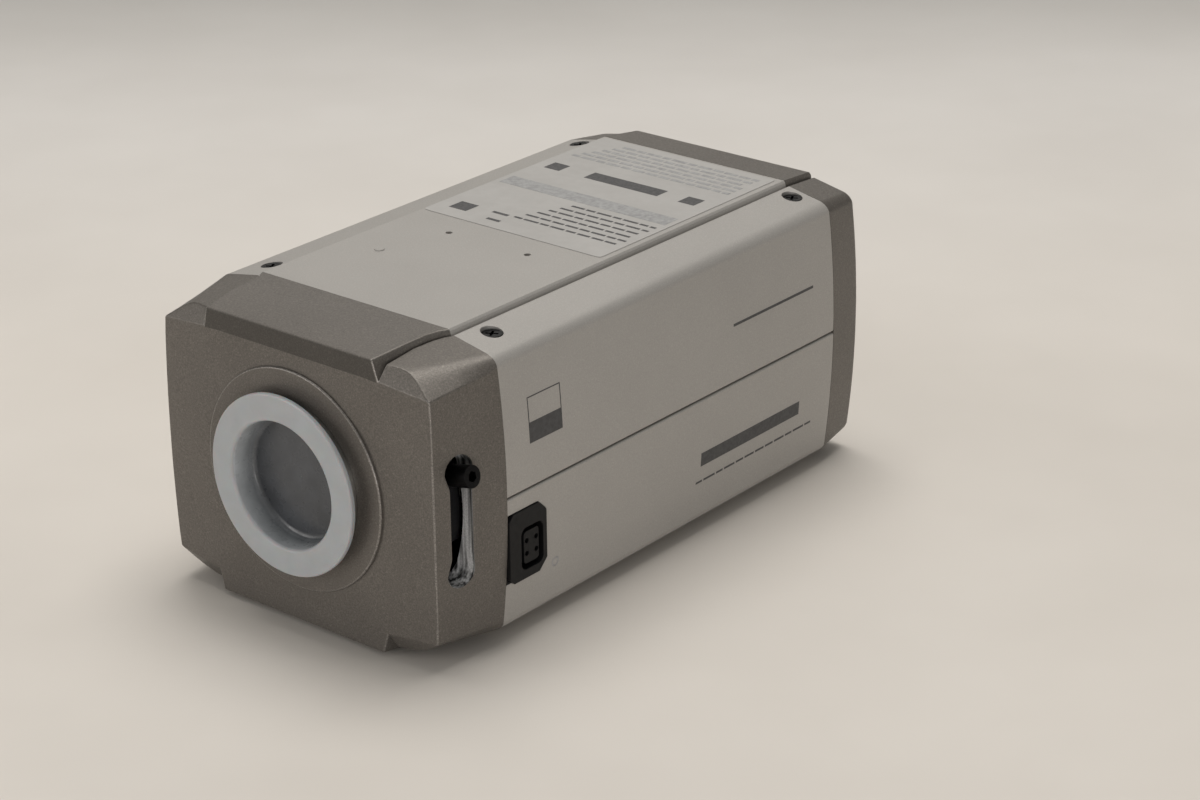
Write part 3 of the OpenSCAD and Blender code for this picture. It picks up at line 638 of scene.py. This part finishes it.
def front_outside():
    """The frame's outside as a closed solid."""
    quadrant = front_tracks()
    size = len(quadrant)
    loop = front_loop(quadrant)
    n, m = len(loop), len(STATIONS)
    points = [p for track in loop for p in track]
    faces = [[i * m + k, ((i + 1) % n) * m + k, ((i + 1) % n) * m + k + 1, i * m + k + 1]
             for i in range(n) for k in range(m - 1)]
    faces.append([i * m for i in range(n)])
    crease = [corner_facet(points, faces, size, quarter) for quarter in range(4)]
    top = brow_band(points, faces, size, (0, 1), crease[0][-1], crease[1][0])
    bottom = brow_band(points, faces, size, (2, 3), crease[2][-1], crease[3][0])
    crowned_face(points, faces, crease[0] + top + crease[1] + crease[2] + bottom + crease[3])
    return solid("front_frame", points, faces)


def boss():
    """The low round boss about the lens ring, with an eased rim."""
    ease, root = 0.3, BORE_Y - 0.3
    rim = corner_arc(BOSS_R, 0, ease, ease, 5)
    profile = [(0.01, root), (BOSS_R, root), (BOSS_R, BOSS_Y + ease)]
    profile += [(r, BOSS_Y + ease - up) for r, up in rim] + [(0.01, BOSS_Y)]
    return lathe("boss", profile, steps=160)


def stadium(half_width, half_length, bulge):
    """A slot outline in (y, z): a straight waist with a round pocket, set a little forward, at each end."""
    forward, steps = 0.4, 10
    turn = [math.pi * k / steps for k in range(steps + 1)]
    top = [(bulge * math.cos(a) - forward, half_length - bulge + bulge * math.sin(a)) for a in turn]
    bottom = [(-bulge * math.cos(a) - forward, -(half_length - bulge + bulge * math.sin(a))) for a in turn]
    waist = half_length - 2 * bulge
    front, back = [(-half_width, waist), (-half_width, -waist)], [(half_width, -waist), (half_width, waist)]
    return top + front + bottom + back


def slot_cutter(low_x, high_x, flare):
    """The slot's outline swept along x, following the slope of the side, and wider by flare at its mouth."""
    inner = stadium(SLOT_W, SLOT_HALF, POCKET_R)
    outer = stadium(SLOT_W + flare, SLOT_HALF + flare, POCKET_R + flare)
    ends = ((inner, low_x), (outer, high_x))
    return loft("cutter", [[(x + SIDE_SLOPE * y, SLOT_Y + y, SLOT_Z + z) for y, z in outline]
                           for outline, x in ends])


def bevel_sharp(obj, width, angle, segments, chosen):
    """Bevels the chosen edges that are sharper than the angle."""
    bm = bmesh.new()
    bm.from_mesh(obj.data)
    edges = [e for e in bm.edges if len(e.link_faces) == 2 and e.calc_face_angle(0) > math.radians(angle)
             and chosen((e.verts[0].co + e.verts[1].co) / 2)]
    bmesh.ops.bevel(bm, geom=edges, offset=width, segments=segments, profile=0.5, affect="EDGES",
                    clamp_overlap=False, loop_slide=True)
    bm.to_mesh(obj.data)
    bm.free()
    return obj


def cylinder(radius, low, high, centre=(0, 0), axis="y", steps=64):
    turn = [2 * math.pi * k / steps for k in range(steps)]
    outline = [(centre[0] + radius * math.cos(a), centre[1] + radius * math.sin(a)) for a in turn]
    return prism("cutter", outline, low, high, axis)


def brick(low, high):
    outline = [(low[0], low[2]), (high[0], low[2]), (high[0], high[2]), (low[0], high[2])]
    return prism("cutter", outline, low[1], high[1])


def front_cavity():
    """The space inside: a bore about the lens axis, cut off flat at the top and bottom."""
    cavity = cylinder(BORE_R, BORE_Y, 1, steps=128)
    wide = brick((-31, -20, -19.6), (31, 20, 19.6))
    high = brick((-16.5, -20, -BORE_TOP), (16.5, 20, BORE_TOP))
    return combine(cavity, plus(wide, high), "INTERSECT")


def on_front_outside(p):
    outside = p.y < BORE_Y - 0.05 or p.xz.length > BORE_R + 0.1 or abs(p.z) > BORE_TOP + 0.1
    return outside and p.y < -0.05 and p.xz.length > BOSS_R + 0.6


def front_paint(centre, normal):
    """The finish of a face: 0 paint, 1 thin paint on edges with a painted highlight, 2 bare slot metal with
    painted sheen, 3 painted shade on the brow's band.
    """
    by_slot = abs(centre.y - SLOT_Y) < 4 and abs(centre.z - SLOT_Z) < SLOT_HALF + 0.6
    if by_slot and 22 < centre.x < side_x(centre.z) - 1.6 and abs(normal.x) < 0.7:
        return 2
    # painted highlight along the upright face corners and the notch edges
    upright_edge = abs(centre.x) > 29.3 and centre.y < -14 and abs(centre.z) < 21.6
    notch_edge = 18.2 < abs(centre.x) < 20.8 and centre.y < -14.4 and abs(centre.z) > 22
    if (upright_edge or notch_edge) and -0.96 < normal.y < -0.25:
        return 1
    # painted highlight along the boss's rim
    if BOSS_R - 0.28 < centre.xz.length < BOSS_R and centre.y < BOSS_Y + 0.25:
        return 1
    # painted shade on the upright band under the top brow
    if abs(centre.x) < BROW.x and NOTCH.z < centre.z < BROW.z and normal.y < -0.9:
        return 3
    return 0


def front_frame():
    shell = plus(front_outside(), boss())
    minus(shell, front_cavity())
    bevel_sharp(shell, 0.22, 17, 3, on_front_outside)
    minus(shell, cylinder(RING_R + 0.04, -30, -12, steps=128))
    surface = HALF_W + SIDE_SLOPE * SLOT_Y
    ease, past = 0.22, 1.5
    minus(shell, slot_cutter(20, FAR, 0))
    minus(shell, slot_cutter(surface - ease, surface + past, (ease + past) * 0.8))
    soften(shell, 0, 28)
    for material in (frame_paint, frame_edge_paint_and_highlight, slot_metal_painted_sheen, frame_painted_shade):
        shell.data.materials.append(material)
    for polygon in shell.data.polygons:
        polygon.material_index = front_paint(polygon.center, polygon.normal)
    in_row_frame(shell)
    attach(shell, "root")
    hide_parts("front_bezel")


front_frame()

# ---------------------------------------------------------------- rear frame

REAR_D = (BEZEL_HIGH.y - SEAM.y) / MM - COVER_L


def rear_frame():
    """The rear frame tapers a little to an eased rim round the recess of the socket panel."""
    outline = all_round(cover_quadrant())
    # distance behind the covers, and share of their outline's size
    levels = [(0, 1.0), (REAR_D - 1.1, 0.9655), (REAR_D - 0.5, 0.96), (REAR_D - 0.15, 0.952), (REAR_D, 0.94)]
    shell = loft("rear_frame", [[(x * s, COVER_L + y, z * s) for x, z in outline] for y, s in levels])
    panel_y = local("rear_panel")[1].y - 0.6
    mouth = all_round(side_arc(26, 26, 15.5, 2) + corner_arc(26, 15.5, 3, 3, 8))
    inside = all_round(side_arc(29, 29, 17.6, 2) + corner_arc(29, 17.6, 2, 2, 4))
    minus(shell, prism("cutter", mouth, panel_y - 1, COVER_L + REAR_D + 2))
    minus(shell, prism("cutter", inside, COVER_L - 2, panel_y))
    bevel_sharp(shell, 0.5, 50, 3, lambda p: p.y > COVER_L + REAR_D - 0.01)
    soften(shell, 0, 28)
    finish_piece(shell, frame_paint, "frame_paint", "root", "rear_bezel")


rear_frame()

# ---------------------------------------------------------------- covers

SCREW_R = 1.8
SCREW_X = (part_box("upper_cover_screws")[1].x - SEAM.x) / MM - SCREW_R
SCREW_Y = [(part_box("upper_cover_screws")[k].y - SEAM.y) / MM + (SCREW_R, -SCREW_R)[k] for k in (0, 1)]


def cover(name, sign):
    """One of the two half shells: the upper with sign 1, the lower with sign -1."""
    outer = prism(name, all_round(cover_quadrant()), 0.04, COVER_L - 0.04)
    minus(outer, prism("cutter", all_round(cavity_quadrant()), -1, COVER_L + 1))
    gap = 0.12
    low, high = (-FAR, gap) if sign > 0 else (-gap, FAR)
    minus(outer, brick((-FAR, -5, low), (FAR, COVER_L + 5, high)))
    bevel_sharp(outer, 0.4, 50, 3, lambda p: abs(p.z) < 0.2 and abs(p.x) > HALF_W - 0.3)
    reach = sorted((sign * 10, sign * FAR))
    for x in (-SCREW_X, SCREW_X):
        for y in SCREW_Y:
            minus(outer, cylinder(SCREW_R + 0.1, *reach, centre=(x, y), axis="z", steps=48))
    return outer


def upper_cover():
    """The upper shell, with a small pip and two pits on its raised flat."""
    shell = cover("upper_shell", 1)
    plus(shell, cylinder(0.9, HALF_H - 1, HALF_H + 0.22, (-12.8, 20), "z", 32))
    for x in (-9, 9):
        minus(shell, cylinder(0.6, HALF_H - 0.6, HALF_H + 2, (x, 33.7), "z", 32))
    soften(shell, 0.12, 30, 2)
    finish_piece(shell, cover_paint, "cover_paint", "root", "upper_cover")


def socket_opening():
    """The lens socket's outline, a little grown, as a cutter that is open towards the front."""
    low, high = local("lens_jack")
    low, high = low - Vector((0, 1.1, 0.1)), high + Vector((0, 0.1, 0.1))
    outline = [(low.y, low.z), (high.y - 2, low.z), (high.y, low.z + 1.9), (high.y, high.z - 1.9),
               (high.y - 2, high.z), (low.y, high.z)]
    return prism("cutter", outline, 20, FAR, "x")


def lower_cover():
    """The lower shell, open for the lens socket and round the tripod bush."""
    shell = cover("lower_shell", -1)
    minus(shell, socket_opening())
    minus(shell, cylinder(6, -FAR, -10, (0, -SEAM.y / MM), "z"))
    soften(shell, 0.12, 30, 2)
    finish_piece(shell, cover_paint, "cover_paint", "root", "lower_cover")


upper_cover()
lower_cover()

# ---------------------------------------------------------------- dust cap


def dust_cap():
    """A soft plug: a flange with a rolled edge, and a recess with a full round rim and a fillet."""
    floor = CAP_FRONT + CAP_DEPTH
    back = (CAP_HIGH.y - SEAM.y) / MM
    mouth, ease = 11.2, 0.6
    rim = corner_arc(mouth, CAP_FRONT + ease, -ease, -ease, 6)[::-1] + [(mouth, CAP_FRONT + ease)]
    recess = rim + [(11.05, floor - 0.8), (10.8, floor - 0.25), (10.2, floor), (0.01, floor)]
    plug = [(0.01, back), (11.6, back), (12.15, back - 0.5), (12.15, RING_FACE)]
    flange = [(CAP_R, RING_FACE), (CAP_R, CAP_FRONT)]
    cap = lathe("cap", rounded(recess + plug + flange, 0.45, 5), steps=144)
    soften(cap, 0, 40)
    cap.data.materials.append(cap_plastic)
    cap.data.materials.append(cap_recess)
    # the recess faces take the material with painted light and shade
    for polygon in cap.data.polygons:
        c = polygon.center
        polygon.material_index = int(CAP_FRONT + 0.35 < c.y < floor + 0.1 and c.xz.length < 11.6)
    finish_piece(cap, None, "cap_plastic", "dust_cap", "dust_cap")


dust_cap()

# ---------------------------------------------------------------- CAD shapes with eased edges

# CAD node, piece, material, slot, body and width of the eased edges
EASED = [
    ("lens_ring", "mount_ring", ring_metal, "ring_metal", "root", 0.15),
    ("lens_jack", "iris_socket", black_plastic, "black_plastic", "root", 0.25),
    ("lock_screw", "locking_screw", black_screw, "black_screw", "lock_screw", 0.15),
    ("rear_panel", "socket_panel", panel_plastic, "panel_plastic", "root", 0.15),
    ("rear_panel_screws", "panel_screws", zinc, "zinc_screw", "root", 0.12),
    ("upper_cover_screws", "cover_screws_top", black_screw, "black_screw", "root", 0.1),
    ("lower_cover_screws", "cover_screws_base", black_screw, "black_screw", "root", 0.1),
    ("tripod_insert", "tripod_bush", brass, "brass", "root", 0.15),
    ("bnc_shell", "video_shell", nickel, "nickel", "root", 0.12),
    ("bnc_insulator", "video_insulator", insulator, "socket_insulator", "root", 0.1),
    ("bnc_contact", "video_contact", gold, "gold_contact", "root", 0.05),
    ("power_terminal", "terminal_block", terminal_plastic, "terminal_plastic", "root", 0.2),
    ("terminal_screw_left", "clamp_screw_left", zinc, "zinc_screw", "terminal_screw_left", 0.1),
    ("terminal_screw_right", "clamp_screw_right", zinc, "zinc_screw", "terminal_screw_right", 0.1),
    ("lens_switch_lever", "slide_switch_knob", white_plastic, "white_plastic", "lens_switch_lever", 0.12),
    ("level_rotor", "level_knob", white_plastic, "white_plastic", "level_rotor", 0.1),
    ("level_trimmer", "level_body", trimmer_plastic, "trimmer_plastic", "root", 0.1),
    ("power_lamp", "lamp", lamp_lens, "lamp_lens", "root", 0.08),
]
for way in ("centre", "up", "down", "left", "right"):
    name = f"menu_button_{way}"
    EASED.append((name, f"button_{way}", button_plastic, "button_plastic", name, 0.25))

for source, name, material, slot, body, width in EASED:
    piece = cad_copy(name, source)
    soften(piece, width, 32, 2)
    finish_piece(piece, material, slot, body, source)

# ---------------------------------------------------------------- inner nodes, kept as they are

INNER = {
    black_anodised: ["lens_block", "focus_ring"],
    steel: ["friction_washer", "filter_arm", "guide_pins", "io_switches"],
    zinc: ["lens_block_screws", "sensor_board_screws", "board_screws"],
    black_plastic: ["filter_frame", "filter_slider", "filter_cover", "sensor_carriage", "main_chips"],
    infrared_glass: ["infrared_filter"],
    clear_glass: ["clear_filter", "sensor_window"],
    copper: ["filter_motor", "power_coils"],
    gasket: ["sensor_gasket"],
    ceramic: ["image_sensor"],
    green_board: ["sensor_board", "main_board", "io_board"],
    blue_board: ["power_board"],
    flat_cable: ["ribbon_cable"],
    gold: ["lens_jack_contacts"],
    white_plastic: ["board_connectors"],
    sleeve: ["power_capacitors"],
    brass: ["board_studs"],
    nickel: ["bnc_nut"],
}
for material, names in INNER.items():
    for name in names:
        nodes[name].data.materials.clear()
        nodes[name].data.materials.append(material)

# ---------------------------------------------------------------- rating label


def label_film():
    """Silvery foil with slow drifts of tone."""
    s = Shader("label_film", roughness=0.35, metallic=0.2)
    s.colour(s.ramp(s.noise(9, 3), (0.3, (0.385, 0.375, 0.36)), (0.7, (0.425, 0.415, 0.4))))
    s.roughness(s.ramp(s.noise(2, 3), (0.3, 0.3), (0.7, 0.42)))
    s.bump(s.noise(0.5, 2), 0.004)
    return s.material


def ink(name, colour):
    """Screen-printed ink: thin, satin and slightly uneven."""
    s = Shader(name, roughness=0.45)
    dark, light = shades(colour, 0.8, 1.2)
    s.colour(s.ramp(s.noise(0.8, 3), (0.3, dark), (0.7, light)))
    s.roughness(s.ramp(s.noise(0.5, 2), (0.3, 0.38), (0.7, 0.55)))
    s.bump(s.noise(0.3, 2), 0.002)
    return s.material


dark_ink = ink("dark_ink", (0.045, 0.045, 0.047))
grey_ink = ink("grey_ink", (0.3, 0.3, 0.3))
INK = 0.02


def label():
    low, high = local("rating_label")
    outline = rounded([(low.x, low.y), (high.x, low.y), (high.x, high.y), (low.x, high.y)], 1.0, 5)
    film = prism("label_sheet", outline, low.z + 0.01, high.z - INK, "z")
    soften(film, 0.03, 30, 1)
    finish_piece(film, label_film(), "label_film", "root", "rating_label")


def dashes(start, end, row):
    """Splits a line into dashes whose lengths vary with the row, like the words of a text."""
    out = []
    at = start
    k = 0
    while at < end - 1:
        step = 1.8 + 1.5 * math.sin(2.1 * row + 1.7 * k) ** 2
        out.append((at, min(at + step, end)))
        at += step + 0.45
        k += 1
    return out


def printed_boxes(name, boxes, material, base, top):
    """Flat boxes (x0, y0, x1, y1) of ink between two heights, as one piece."""
    points, faces = [], []
    for x0, y0, x1, y1 in boxes:
        n = len(points)
        points += [(x, y, z) for z in (base, top) for x, y in ((x0, y0), (x1, y0), (x1, y1), (x0, y1))]
        faces += [[n + i for i in f] for f in ((0, 1, 2, 3), (4, 5, 6, 7), (0, 1, 5, 4), (1, 2, 6, 5),
                                               (2, 3, 7, 6), (3, 0, 4, 7))]
    finish_piece(solid(name, points, faces), material, "label_film", "root")


def label_print():
    """Plain bars and blocks where the real label has its text and marks."""
    low, high = local("rating_label")
    left, right, near, far = low.x, high.x, low.y, high.y
    dark = [(left + 3, near + 3.6, left + 7, near + 7.2), (left + 11, near + 6, left + 14.6, near + 6.8),
            (left + 12.4, near + 2.8, left + 15.4, near + 3.6)]
    for row in range(6):
        y = near + 6.4 + 2.1 * row
        dark += [(a, y, b, y + 0.62) for a, b in dashes(right - 25 + 0.9 * row, right - 1.4, row)]
    bar_y = near + 30.6
    dark += [(left + 12, bar_y, left + 29, bar_y + 3.4), (left + 2.4, bar_y, left + 6, bar_y + 3.4),
             (right - 7, bar_y, right - 3.4, bar_y + 3.4)]
    pale = [(left + 1.2, near + 19.4, right - 1.2, near + 23.4)]
    for row in range(6):
        y = far - 12 + 1.8 * row
        pale += [(a, y, b, y + 0.9) for a, b in dashes(left + 2 + row, right - 2, row + 9)]
    printed_boxes("label_dark_print", dark, dark_ink, high.z - 1.5 * INK, high.z)
    printed_boxes("label_pale_print", pale, grey_ink, high.z - 1.5 * INK, high.z)


def side_bar(y0, z0, y1, z1):
    """A bar of ink between two corners (y, z) on the right side, which follows the bow of the side."""
    step = 0.8
    count = max(1, math.ceil((z1 - z0) / step))
    levels = [z0 + (z1 - z0) * k / count for k in range(count + 1)]
    corners = ((-INK, y0), (INK, y0), (INK, y1), (-INK, y1))
    return loft("bar", [[(side_x(z) + lift, y, z) for lift, y in corners] for z in levels])


def side_ring(y, z, inner, outer):
    """A ring of ink about a place (y, z) on the right side."""
    steps = 32
    points, faces = [], []
    for k in range(steps):
        turn = 2 * math.pi * k / steps
        for r, lift in ((inner, -INK), (outer, -INK), (outer, INK), (inner, INK)):
            high = z + r * math.sin(turn)
            points.append((side_x(high) + lift, y + r * math.cos(turn), high))
        for i in range(4):
            j = (i + 1) % 4
            m = (k + 1) % steps
            faces.append([k * 4 + i, k * 4 + j, m * 4 + j, m * 4 + i])
    return solid("ring", points, faces)


def side_print(name, material, *parts):
    mark = joined(*parts)
    mark.name = name
    finish_piece(mark, material, "black_plastic", "root")


def side_marks():
    """Plain marks where the real side has its badge, its name bar, its line of text and the socket's word."""
    left, right, low, high = 6.1, 14.4, 7.8, 15.8
    line, filled = 0.2, 11.4
    side_print("side_badge", dark_ink,
               side_bar(left, low, right, filled),
               side_bar(left, high - line, right, high),
               side_bar(left, filled - line, left + line, high - line / 2),
               side_bar(right - line, filled - line, right, high - line / 2))
    words = [side_bar(a, -16.3, b, -15.9) for a, b in dashes(51.2, 87, 3)]
    side_print("side_bar", dark_ink, side_bar(52.3, -13.1, 81.8, -10.5), *words)
    side_print("side_line", dark_ink, side_bar(61.5, 10.6, 85.5, 11.1))
    side_print("socket_glyph", grey_ink, side_ring(12.6, -16.2, 0.55, 0.95))


label()
label_print()
side_marks()

# ---------------------------------------------------------------- stage, light and camera, in metres

CAMERA_PLACE = (0.31845, -0.35401, 0.23058)
CAMERA_AZIMUTH = math.radians(39.39)
CAMERA_ELEVATION = math.radians(23.32)
CAMERA_ROLL = math.radians(-0.6)


def pale_floor_painted_shade():
    """Pale card with a faint mottle, and painted shade that makes it a little greyer towards the backdrop."""
    s = Shader("pale_floor_painted_shade", roughness=0.75)
    mottle = s.ramp(s.noise(60, 3), (0.3, (0.66, 0.62, 0.57)), (0.7, (0.7, 0.66, 0.61)))
    # painted shade: the card darkens towards the back
    tone = s.ramp(s.share(0.0, 0.4), (0.2, (1.0, 1.0, 1.0)), (0.62, (0.92, 0.94, 0.97)),
                  (0.72, (0.85, 0.87, 0.9)), (0.9, (0.64, 0.66, 0.68)))
    s.colour(s.mix("MULTIPLY", 1.0, mottle, tone))
    s.bump(s.noise(2, 3), 0.02)
    return s.material


def sweep():
    """A sheet of pale card: a floor that curves up into a backdrop behind the camera body."""
    n = 24
    radius, back, wide, near = 0.5, 0.9, 4.0, -3.0
    line = [(near, 0.0), (back, 0.0)]
    line += [(back + radius * math.sin(a), radius - radius * math.cos(a))
             for a in [math.pi / 2 * k / n for k in range(1, n + 1)]]
    line.append((back + radius, 3.0))
    points = [(x, y, z) for y, z in line for x in (-wide, wide)]
    faces = [[2 * i, 2 * i + 1, 2 * i + 3, 2 * i + 2] for i in range(len(line) - 1)]
    mesh = bpy.data.meshes.new("floor")
    mesh.from_pydata(points, [], faces)
    for polygon in mesh.polygons:
        polygon.use_smooth = True
    floor = link("floor", mesh)
    floor.data.materials.append(pale_floor_painted_shade())
    floor.rotation_euler = (0, 0, CAMERA_AZIMUTH)


def camera():
    data = bpy.data.cameras.new("camera")
    data.lens = 88.35
    data.sensor_width = 36
    data.clip_start = 0.01
    data.clip_end = 20
    obj = bpy.data.objects.new("camera", data)
    bpy.context.scene.collection.objects.link(obj)
    obj.location = CAMERA_PLACE
    turn = Matrix.Rotation(CAMERA_AZIMUTH, 4, "Z") @ Matrix.Rotation(math.pi / 2 - CAMERA_ELEVATION, 4, "X")
    obj.rotation_euler = (turn @ Matrix.Rotation(CAMERA_ROLL, 4, "Z")).to_euler()
    bpy.context.scene.camera = obj


def area_light(name, place, target, size, power, colour):
    """A rectangular lamp of a power in watts that faces the target."""
    data = bpy.data.lights.new(name, "AREA")
    data.shape = "RECTANGLE"
    data.size, data.size_y = size
    data.energy = power
    data.color = colour
    obj = bpy.data.objects.new(name, data)
    bpy.context.scene.collection.objects.link(obj)
    obj.location = place
    obj.rotation_euler = (Vector(place) - Vector(target)).to_track_quat("Z", "Y").to_euler()


def lights():
    centre = (0, 0.03, 0.03)
    area_light("top_softbox", (-0.12, 0.24, 1.2), centre, (0.9, 0.7), 11.0, (1.0, 0.97, 0.93))
    area_light("back_softbox", (-0.8, 1.0, 0.75), centre, (1.0, 0.6), 1.6, (1.0, 0.97, 0.93))
    area_light("front_softbox", (-0.7, -0.95, 0.33), centre, (0.7, 0.4), 3.1, (1.0, 0.97, 0.94))
    area_light("right_softbox", (0.46, -0.42, 0.05), centre, (0.45, 0.08), 0.95, (1.0, 0.97, 0.95))
    world = bpy.data.worlds.new("room")
    world.use_nodes = True
    world.node_tree.nodes["Background"].inputs["Color"].default_value = (0.95, 0.95, 0.93, 1)
    world.node_tree.nodes["Background"].inputs["Strength"].default_value = 0.3
    bpy.context.scene.world = world
    bpy.context.scene.view_settings.view_transform = "Standard"


camera()
sweep()
lights()
